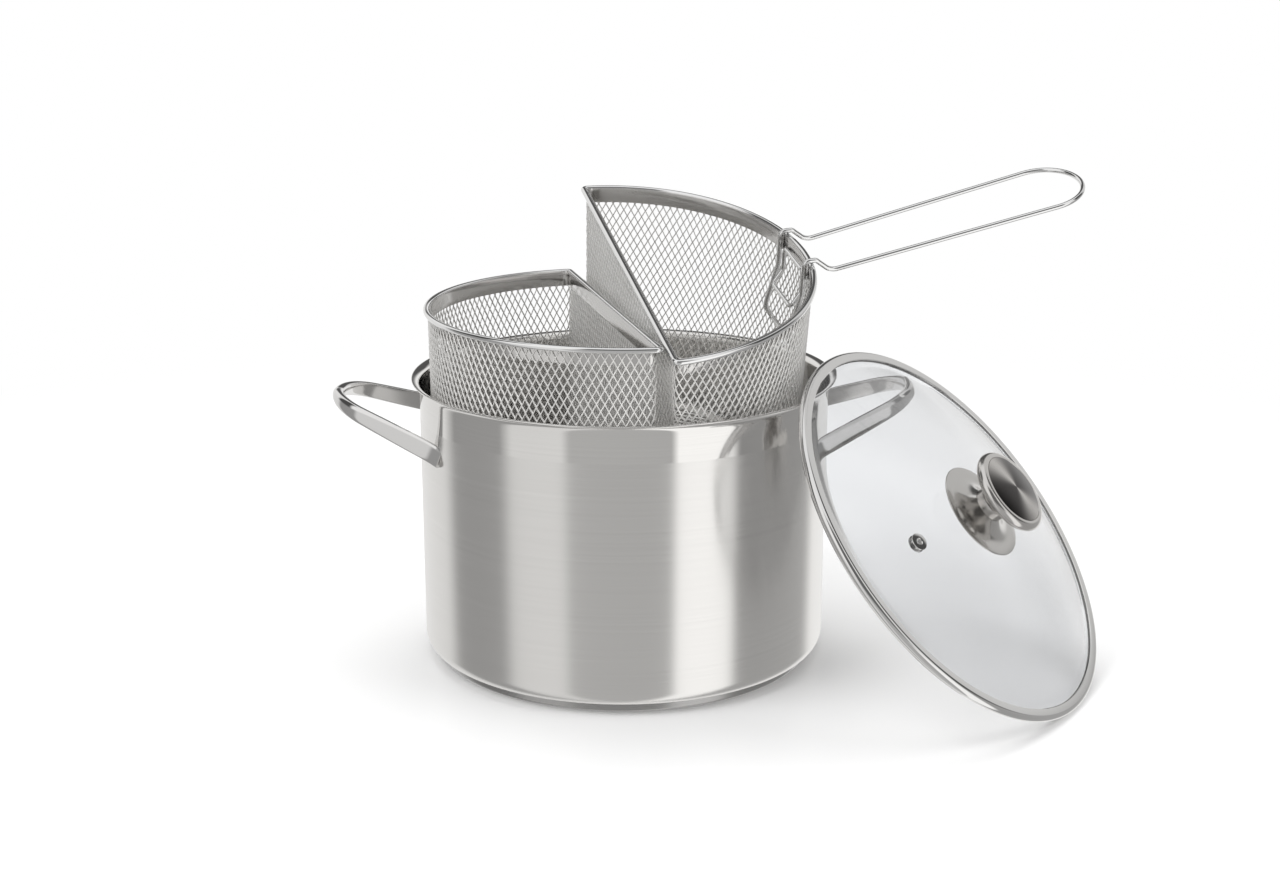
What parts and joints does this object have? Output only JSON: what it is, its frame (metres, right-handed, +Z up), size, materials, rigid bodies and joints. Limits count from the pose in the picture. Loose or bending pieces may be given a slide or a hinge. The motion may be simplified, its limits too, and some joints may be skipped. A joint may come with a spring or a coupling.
{
  "type": "pasta pot with strainer insert",
  "caption": "Straight-walled steel pot with half-round mesh strainer baskets, a lift-off wire handle, loop side handles and a leaning glass lid with a steel knob.",
  "frame": {"origin": "centre of the pot's underside, on the surface it stands on", "axes": "+Z up along the pot's wall; -Y towards the viewer of the picture; +X towards the leaning lid"},
  "size_m": [0.4463, 0.302, 0.2842],
  "materials": {
    "pot_steel": "satin, brushed round the wall, polished band under the lip",
    "core_aluminium": "plain disc, hidden but for its edge in the seam",
    "base_steel": "satin",
    "handle_steel": "polished",
    "rim_wire": "mirror polished wire",
    "rim_band": "polished sheet",
    "expanded_mesh": "expanded sheet, satin",
    "bracket_wire": "polished wire",
    "handle_wire": "mirror polished wire",
    "lid_glass": "clear tempered glass",
    "lid_band": "polished rolled band",
    "vent_steel": "polished",
    "knob_steel": "polished",
    "knob_dark": "dark mirror",
    "screw_steel": "plain",
    "washer_rubber": "matt"
  },
  "bodies": {
    "pot": {"pot_body": "pot_steel", "base_core": "core_aluminium", "base_cap": "base_steel", "side_handle_right": "handle_steel", "side_handle_left": "handle_steel"},
    "basket_left": {"left_rim_arc": "rim_wire", "left_rim_bar": "rim_wire", "left_rim_band": "rim_band", "left_arc_mesh": "expanded_mesh", "left_flat_mesh": "expanded_mesh", "left_floor_mesh": "expanded_mesh", "left_handle_bracket": "bracket_wire"},
    "basket_right": {"right_rim_arc": "rim_wire", "right_rim_bar": "rim_wire", "right_rim_band": "rim_band", "right_arc_mesh": "expanded_mesh", "right_flat_mesh": "expanded_mesh", "right_floor_mesh": "expanded_mesh", "right_handle_bracket": "bracket_wire"},
    "basket_handle": {"wire_handle": "handle_wire"},
    "lid": {"lid_glass": "lid_glass", "lid_rim": "lid_band", "vent_eyelet": "vent_steel", "knob_base": "knob_steel", "knob_stem": "knob_steel", "knob_cap": "knob_steel", "knob_inlay": "knob_dark", "knob_screw": "screw_steel", "knob_washer": "washer_rubber"}
  },
  "joints": [
    {"name": "left_basket_lift", "type": "slide", "parent": "pot", "child": "basket_left", "axis": [-0.0473, 0.0121, 0.9988], "range_m": [0, 0.16]},
    {"name": "right_basket_lift", "type": "slide", "parent": "pot", "child": "basket_right", "axis": [0.0285, -0.2773, 0.9604], "range_m": [0, 0.16]},
    {"name": "handle_unhook", "type": "slide", "parent": "basket_right", "child": "basket_handle", "axis": [-0.5693, -0.3855, 0.7261], "range_m": [0, 0.075]},
    {"name": "lid_off", "type": "slide", "parent": "pot", "child": "lid", "axis": [0.6485, -0.3927, 0.6521], "range_m": [0, 0.25]}
  ]
}
